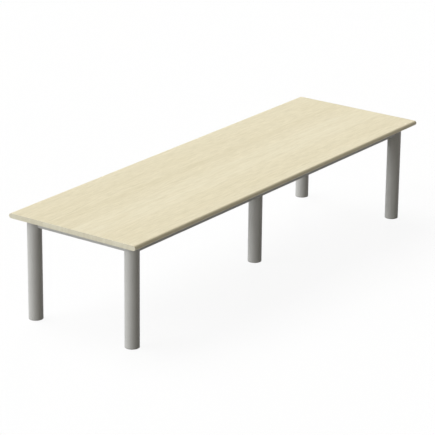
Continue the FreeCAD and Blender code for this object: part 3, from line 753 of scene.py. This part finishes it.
# The decor is a print of veneer leaves laid side by side. Each has its own heart, with rings bent round it.
LEAF_WIDTH = 0.205
LEAF_SHIFT = 0.37
HEART_SPREAD = 0.5
HEART_SHIFT = 0.12
HEART_BLUNTNESS = 0.0009
HEART_SWAY = {"rates": (1.3, 7.3, 0.0)}
HEART_SWAY_WIDTH = 0.07
RING_SPACING = 0.0062
RING_SLOPE = 0.050
RING_RIPPLE = {"rates": (3.2, 24.0, 0.0), "detail": 3.0}
RING_RIPPLE_WIDTH = 0.016
LATE_WOOD_RISE = (0.25, 0.90)
LATE_WOOD_FALL = (1.0, 0.93)
LINE_STRENGTH = {"rates": (1.7, 30.0, 0.0), "layer": 4.0, "shows": (0.30, 0.72)}
CLOUDS = {"rates": (0.62, 12.0, 0.0), "detail": 3.0, "shows": (0.25, 0.75)}
STREAKS = {
    "rates": (9.0, 75.0, 0.0), "layer": 9.0, "detail": 4.0, "roughness": 0.7, "shows": (0.30, 0.70)
}
FIBRES = {"rates": (13.0, 1300.0, 0.0)}
FLECKS = {"rates": (260.0, 1500.0, 0.0), "layer": 2.0, "detail": 1.0, "shows": (0.60, 0.72)}
SCRATCH_TURNS = (12, 67, -38)
SCRATCH_BOW = {"rates": (2.5, 2.5, 0.0)}
SCRATCH_BOW_WIDTH = 0.03
SCRATCHES_PER_METRE = 6.0
SCRATCH_LAYER = 3.7
SCRATCH_HAIRS = {"detail": 0.0, "shows": (0.73, 0.80)}
BACKING_DARK = (0.66, 0.63, 0.545, 1)
BACKING_LIGHT = (0.77, 0.74, 0.645, 1)
BACKING_TOOTH = 0.0008
BACKING_SMUDGES = 4.0
BACKING_FIBRES = {"rates": (90.0, 420.0, 1.0), "detail": 4.0, "roughness": 0.6}
BACKING_MOTTLE = {"scale": 26.0, "detail": 4.0}
BACKING_LOOK = {
    "colours": (BACKING_DARK, BACKING_LIGHT),
    "tone": {"fibre": 0.45, "mottle": 0.35, "smudge": 0.20},
    "roughness": {"even": 0.55, "tooth": 0.10, "smudge": 0.05},
    "relief": {"tooth": 1.0},
    "depth": 0.00003,
}
CHIP_DARK = (0.30, 0.19, 0.10, 1)
CHIP_LIGHT = (0.66, 0.52, 0.34, 1)
CHIPS_PER_METRE = (240.0, 240.0, 620.0)
CHIP_DUST = {"scale": 900.0, "detail": 3.0}
CHIPBOARD_LOOK = {
    "colours": (CHIP_DARK, CHIP_LIGHT),
    "tone": {"chip": 0.72, "dust": 0.28},
    "roughness": {"even": 0.72, "dust": 0.15},
    "relief": {"chip": 0.72, "dust": 0.28},
    "depth": 0.0003,
}

top_low, top_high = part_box("top_laminate")
EDGE_RADIUS = (top_high.z - top_low.z) / 2
EDGE_MIDDLE = (top_high.z + top_low.z) / 2
FLAT_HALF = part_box("backing_sheet")[1].y


def figure(position, leaf_width, ring_spacing):
    """The figure of maple, with its grain along the first axis and its leaves side by side on the second."""
    along, across, _ = position.parts()
    leaf = (across / leaf_width + LEAF_SHIFT).math("FLOOR")
    chance = add_node(position.tree, "ShaderNodeTexWhiteNoise", {"W": leaf}, noise_dimensions="1D")["Value"]
    heart = across - (leaf + (chance * HEART_SPREAD - HEART_SHIFT)) * leaf_width
    sway = pattern(joined(position.tree, along, leaf, 0.0), **HEART_SWAY) - 0.5
    from_heart = heart + sway * HEART_SWAY_WIDTH
    depth = (from_heart * from_heart + HEART_BLUNTNESS).math("SQRT")
    slope = (chance - 0.5) * RING_SLOPE
    ripple = pattern(position, **RING_RIPPLE) - 0.5
    ring = ((depth + along * slope + ripple * RING_RIPPLE_WIDTH) / ring_spacing).math("FRACT")
    late_wood = ring.between(*LATE_WOOD_RISE) * ring.between(*LATE_WOOD_FALL)
    return {
        "Cloud": pattern(position, **CLOUDS),
        "Streak": pattern(position, **STREAKS),
        "Line": late_wood * pattern(position, **LINE_STRENGTH),
        "Fibre": pattern(position, **FIBRES),
        "Fleck": pattern(position, **FLECKS),
    }


def scratches(position, width):
    """Fine, slightly bowed scratches that run in a few directions."""
    x, y, _ = position.parts()
    layers = []
    for number, degrees in enumerate(SCRATCH_TURNS):
        cosine, sine = math.cos(math.radians(degrees)), math.sin(math.radians(degrees))
        along = x * cosine + y * sine
        aside = y * cosine - x * sine
        bow = pattern(joined(position.tree, along, aside, 0.0), **SCRATCH_BOW, layer=float(number))
        bowed = aside + bow * SCRATCH_BOW_WIDTH
        drawn_out = joined(
            position.tree, along * SCRATCHES_PER_METRE, bowed / width, number * SCRATCH_LAYER
        )
        layers.append(noise(drawn_out, 1.0, **SCRATCH_HAIRS))
    return {"Scratch": sum(layers).clamped()}


maple_figure = new_effect("maple_figure", {"Leaf": LEAF_WIDTH, "Ring": RING_SPACING}, figure)
fine_scratches = new_effect("fine_scratches", {"Width": 0.0006}, scratches)


def soft_strips(place, strips):
    """How strongly any of the strips shows at a place across the top. Their edges are soft."""
    outer, inner = STRIP_FADE
    return sum(
        (place - middle).math("ABSOLUTE").between(half * outer, half * inner) * strength
        for middle, half, strength in strips
    )


def maple_marks(position):
    """The decor's marks, which follow the sheet round the long edges as if it were unrolled."""
    x, y, z = position.parts()
    past_flat = y.math("ABSOLUTE") - FLAT_HALF
    round_angle = past_flat.math("ARCTAN2", z - EDGE_MIDDLE).math("MAXIMUM", 0.0)
    from_middle = past_flat.math("MINIMUM", 0.0) + FLAT_HALF + round_angle * EDGE_RADIUS
    unrolled = from_middle * y.math("SIGN")
    sheet = joined(position.tree, x, unrolled, 0.0)
    print_marks = place_effect(maple_figure, sheet)
    swayed = unrolled + (pattern(sheet, **STRIP_SWAY) - 0.5) * STRIP_SWAY_WIDTH
    broken = pattern(sheet, **STRIP_BREAKS)
    return {
        "cloud": print_marks["Cloud"],
        "streak": print_marks["Streak"],
        "line": print_marks["Line"],
        "fibre": print_marks["Fibre"],
        "fleck": print_marks["Fleck"],
        "amber": soft_strips(swayed, AMBER_STRIPS) * broken,
        "cream": soft_strips(swayed, CREAM_STRIPS) * broken,
        "glue": x.math("ABSOLUTE").between(top_high.x - 2 * GLUE_WIDTH, top_high.x - GLUE_WIDTH),
        "sheen": place_effect(fine_grit, position, Grain=SHEEN_GRAIN)["Height"],
        "smudge": place_effect(handling_marks, position, Patches=TOP_SMUDGES)["Smudge"],
        "scratch": place_effect(fine_scratches, position)["Scratch"],
        "rubbed": from_middle.between(FLAT_HALF - RUBBED_INSIDE, FLAT_HALF + RUBBED_ROUND),
    }


def backing_marks(position):
    """Paper fibres under a thin film of resin."""
    return {
        "fibre": pattern(position, **BACKING_FIBRES),
        "mottle": noise(position, **BACKING_MOTTLE),
        "tooth": place_effect(fine_grit, position, Grain=BACKING_TOOTH)["Height"],
        "smudge": place_effect(handling_marks, position, Patches=BACKING_SMUDGES)["Smudge"],
    }


def chip_marks(position):
    """Pressed wood chips, flatter than they are wide, with dust between them."""
    return {
        "chip": cells(stretched(position, CHIPS_PER_METRE), 1.0),
        "dust": noise(position, **CHIP_DUST),
    }


dress(("top_laminate",), new_finish("maple_laminate", MAPLE_LOOK, maple_marks))
dress(("backing_sheet",), new_finish("backing_laminate", BACKING_LOOK, backing_marks))
dress(("top_core",), new_finish("chipboard", CHIPBOARD_LOOK, chip_marks))


# End bands: strips of 2 mm plastic glued to the two flat ends and trimmed flush, in a greyer print of the
# decor. The trimming cutter has rounded over their outer edge.

BAND_PALE = (0.709, 0.688, 0.556, 1)
BAND_WARM = (0.545, 0.506, 0.382, 1)
BAND_FLECK = (0.430, 0.380, 0.290, 1)
BAND_RUBBED = (0.740, 0.725, 0.640, 1)
BAND_TOOTH = 0.0007
BAND_EDGE = 0.0015
BAND_SMUDGES = 12.0
BAND_LEAF = 0.4
BAND_SQUEEZE = 1.6
BAND_SPECKS = {"rates": (800.0, 520.0, 800.0)}
BAND_BARS = {"rates": (1.0, 62.0, 9.0), "shows": (0.30, 0.70)}
BAND_PATCHES = {"rates": (1.0, 7.0, 3.0), "detail": 1.0, "shows": (0.30, 0.70)}
BAND_FLECK_SHARES = {"print": 0.20, "tooth": 0.10}
BAND_LOOK = {
    "colours": (BAND_PALE, BAND_WARM),
    "tone": {"even": -0.33, "speck": 0.40, "fibre": 0.25, "cloud": 0.15, "bar": 0.30, "patch": 0.22},
    "over": {"fleck": (1.0, BAND_FLECK), "rubbed": (0.40, BAND_RUBBED)},
    "roughness": {"even": 0.42, "smudge": 0.06, "tooth": 0.10, "scratch": 0.10, "rubbed": -0.10},
    "relief": {"tooth": 1.0, "scratch": -0.5},
    "depth": 0.00002,
}


def band_marks(position):
    """A print of the decor with its grain along the band, in bars and patches."""
    x, y, z = position.parts()
    tree = position.tree
    print_marks = place_effect(maple_figure, joined(tree, y, z * BAND_SQUEEZE, 0.0), Leaf=BAND_LEAF)
    tooth = place_effect(fine_grit, position, Grain=BAND_TOOTH)
    flecks = {"print": print_marks["Fleck"], "tooth": tooth["Fleck"]}
    return {
        "speck": pattern(position, **BAND_SPECKS),
        "bar": pattern(position, **BAND_BARS),
        "patch": pattern(position, **BAND_PATCHES),
        "fibre": print_marks["Fibre"],
        "cloud": print_marks["Cloud"],
        "fleck": weighed(flecks, BAND_FLECK_SHARES),
        "tooth": tooth["Height"],
        "smudge": place_effect(handling_marks, position, Patches=BAND_SMUDGES)["Smudge"],
        "scratch": place_effect(fine_scratches, joined(tree, y, z, x))["Scratch"],
        "rubbed": place_effect(edge_wear, position, Reach=BAND_EDGE)["Edge"],
    }


dress(("end_band_left", "end_band_right"), new_finish("edge_band", BAND_LOOK, band_marks))


# Wood screws: pan heads with a six-lobed drive, zinc plated. They hold the rails and the middle plate up to
# the core: those in the rails sit inside the tubes, where the access holes below let a driver in.

WOOD_SCREW_SIZES = {
    "Head Diameter": 0.012,
    "Head Height": 0.0035,
    "Drive Width": 0.0050,
    "Drive Depth": 0.0021,
    "Thread Diameter": 0.0058,
    "Thread Depth": 0.0009,
    "Thread Pitch": 0.0026,
    "Thread Start": 0.0,
    "Thread Length": 0.0175,
    "Tip Diameter": 0.0006,
    "End Height": 0.022,
}
PLATE_SCREW_SIZES = {**WOOD_SCREW_SIZES, "Thread Length": 0.0205, "End Height": 0.025}
RAIL_SCREW_MARGIN = 0.190
LONG_RAIL_SCREWS = 5
END_RAIL_SCREWS = 2
PLATE_SCREWS = 6
PLATE_SCREW_RING = 0.064
RAIL_WALL = 0.002


def spread_evenly(count, reach):
    """Places from one end of a rail's screws to the other, with the rail's middle at 0."""
    return [reach * (2 * number / (count - 1) - 1) for number in range(count)]


rail_seats = []
rail_roof = round(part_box("rail_front")[1].z, PLACE_DIGITS) - RAIL_WALL
far = leg_axis["back_right"]
for place in spread_evenly(LONG_RAIL_SCREWS, far.x - RAIL_SCREW_MARGIN):
    rail_seats += [(place, side * far.y, rail_roof) for side in (-1, 1)]
for place in spread_evenly(END_RAIL_SCREWS, far.y - RAIL_SCREW_MARGIN):
    rail_seats += [(side * far.x, place, rail_roof) for side in (-1, 1)]
plate_seats = []
for number in range(PLATE_SCREWS):
    angle = 2 * math.pi * number / PLATE_SCREWS
    spot = leg_axis["middle"] + PLATE_SCREW_RING * Vector((math.cos(angle), math.sin(angle), 0))
    plate_seats.append((spot.x, spot.y, plate_low))

wood_screw_tree = new_turned_tree("lobed_pan_screw", WOOD_SCREW_SIZES, button_outline, six_lobes)
for name, node, seats, sizes in (
    ("rail_wood_screws", "top_screws", rail_seats, WOOD_SCREW_SIZES),
    ("plate_wood_screws", "plate_screws", plate_seats, PLATE_SCREW_SIZES),
):
    screws = build_from_tree(name, wood_screw_tree, seats, sizes, zinc_turned)
    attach(screws, "table")
    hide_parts(node)


# Studio: a pale floor that shows white to the camera and still takes the table's shadow, in a white surround.
# Low lamps stand behind the table and round both its ends, two hang higher, and a weak fill is by the camera.
# Only the top light is mirrored in glossy surfaces: from some sides the others would turn the top white.

FLOOR_HALF = 40.0
FLOOR_LEVEL = -0.0005
FLOOR_CORNERS = ((-1, -1), (1, -1), (1, 1), (-1, 1))
FLOOR_BOUNCE = (0.130, 0.122, 0.106, 1)
WHITE = (1, 1, 1, 1)
SHADOW_SHARE = 0.08
SURROUND_STRENGTH = 0.13
SURROUND_COLOUR = (1, 0.95, 0.84, 1)
NEUTRAL = (1, 1, 1)
WARM = (1, 0.94, 0.82)
# Each lamp's name and strength, its bearing from the table's +X axis, its height over the floor and its
# spread, all three in degrees, its colour, and whether it is mirrored in glossy surfaces.
LAMPS = (
    ("low_light_back", 0.237, 120, 4.5, 8, NEUTRAL, False),
    ("low_light_left", 0.172, 160, 4.5, 8, NEUTRAL, False),
    ("low_light_end", 0.103, 180, 4.5, 8, NEUTRAL, False),
    ("strip_light", 0.091, 164, 11, 20, NEUTRAL, False),
    ("side_light", 0.334, 141, 32, 24, NEUTRAL, False),
    ("right_light", 0.400, 34, 8, 14, NEUTRAL, False),
    ("top_light", 0.598, 90, 61, 40, NEUTRAL, True),
    ("left_fill", 0.095, -135, 14, 26, WARM, False),
)


def seen_directly(tree):
    """1 for what the camera, a reflection or glass shows, and 0 for the light that surfaces pass on."""
    path = add_node(tree, "ShaderNodeLightPath", {})
    seen = path["Is Camera Ray"].math("MAXIMUM", path["Is Glossy Ray"])
    return seen.math("MAXIMUM", path["Is Transmission Ray"])


def mixed(share, first, second):
    """The first shader where share is 0, and the second where it is 1."""
    return add_node(first.tree, "ShaderNodeMixShader", (share, first, second))["Shader"]


def shine(name, strength, bearing, height, spread, colour, mirrored):
    """A distant lamp that lights a surface facing it to the given share of its own colour."""
    lamp = bpy.data.lights.new(name, "SUN")
    lamp.energy = strength * math.pi
    lamp.angle = math.radians(spread)
    lamp.color = colour
    level = math.cos(math.radians(height))
    turn = math.radians(bearing)
    towards = Vector((level * math.cos(turn), level * math.sin(turn), math.sin(math.radians(height))))
    holder = bpy.data.objects.new(name, lamp)
    holder.rotation_mode = "QUATERNION"
    holder.rotation_quaternion = towards.to_track_quat("Z", "Y")
    holder.visible_glossy = mirrored
    bpy.context.scene.collection.objects.link(holder)


floor_mesh = bpy.data.meshes.new("floor")
floor_points = [(FLOOR_HALF * x, FLOOR_HALF * y, FLOOR_LEVEL) for x, y in FLOOR_CORNERS]
floor_mesh.from_pydata(floor_points, [], [(0, 1, 2, 3)])
floor = bpy.data.objects.new("floor", floor_mesh)
bpy.context.scene.collection.objects.link(floor)
floor_paint = bpy.data.materials.new("studio_floor")
floor_paint.use_nodes = True
floor_tree = floor_paint.node_tree
floor_tree.nodes.clear()
bouncing = add_node(floor_tree, "ShaderNodeBsdfDiffuse", {"Color": FLOOR_BOUNCE})["BSDF"]
shaded = add_node(floor_tree, "ShaderNodeBsdfDiffuse", {"Color": WHITE})["BSDF"]
clear = add_node(floor_tree, "ShaderNodeBsdfTransparent", {})["BSDF"]
shown = mixed(SHADOW_SHARE, clear, shaded)
from_below = add_node(floor_tree, "ShaderNodeNewGeometry", {})["Backfacing"]
floor_surface = mixed(from_below, mixed(seen_directly(floor_tree), bouncing, shown), clear)
feed(floor_surface, floor_tree.nodes.new("ShaderNodeOutputMaterial").inputs["Surface"])
floor_mesh.materials.append(floor_paint)

world = bpy.data.worlds.new("surround")
world.use_nodes = True
world_tree = world.node_tree
world_tree.nodes.clear()
dim_light = {"Color": SURROUND_COLOUR, "Strength": SURROUND_STRENGTH}
dim = add_node(world_tree, "ShaderNodeBackground", dim_light)["Background"]
white = add_node(world_tree, "ShaderNodeBackground", {"Color": WHITE, "Strength": 1.0})["Background"]
surround = mixed(seen_directly(world_tree), dim, white)
feed(surround, world_tree.nodes.new("ShaderNodeOutputWorld").inputs["Surface"])
bpy.context.scene.world = world

for lamp in LAMPS:
    shine(*lamp)
bpy.context.scene.view_settings.view_transform = "Standard"


# Camera: a long lens, at the place from which the photograph was taken. The place, the turns and the focal
# length were fitted to the edges of the top and the feet of the legs.

CAMERA_PLACE = (-11.6540, -8.3293, 5.4251)
CAMERA_TURN = math.radians(-54.240)
CAMERA_HEIGHT = math.radians(19.545)
CAMERA_ROLL = math.radians(0.626)
FOCAL_PIXELS = 2257.43
FRAME_PIXELS = 435
SENSOR_WIDTH = 36.0
FARTHEST_SEEN = 200.0

back = Vector((
    math.sin(CAMERA_TURN) * math.cos(CAMERA_HEIGHT),
    -math.cos(CAMERA_TURN) * math.cos(CAMERA_HEIGHT),
    math.sin(CAMERA_HEIGHT),
))
level_right = Vector((math.cos(CAMERA_TURN), math.sin(CAMERA_TURN), 0))
level_up = back.cross(level_right)
right = math.cos(CAMERA_ROLL) * level_right + math.sin(CAMERA_ROLL) * level_up
up = math.cos(CAMERA_ROLL) * level_up - math.sin(CAMERA_ROLL) * level_right
lens = bpy.data.cameras.new("camera")
lens.sensor_width = SENSOR_WIDTH
lens.lens = SENSOR_WIDTH * FOCAL_PIXELS / FRAME_PIXELS
lens.clip_end = FARTHEST_SEEN
camera = bpy.data.objects.new("camera", lens)
camera.matrix_world = Matrix.Translation(CAMERA_PLACE) @ Matrix((right, up, back)).transposed().to_4x4()
bpy.context.scene.collection.objects.link(camera)
bpy.context.scene.camera = camera
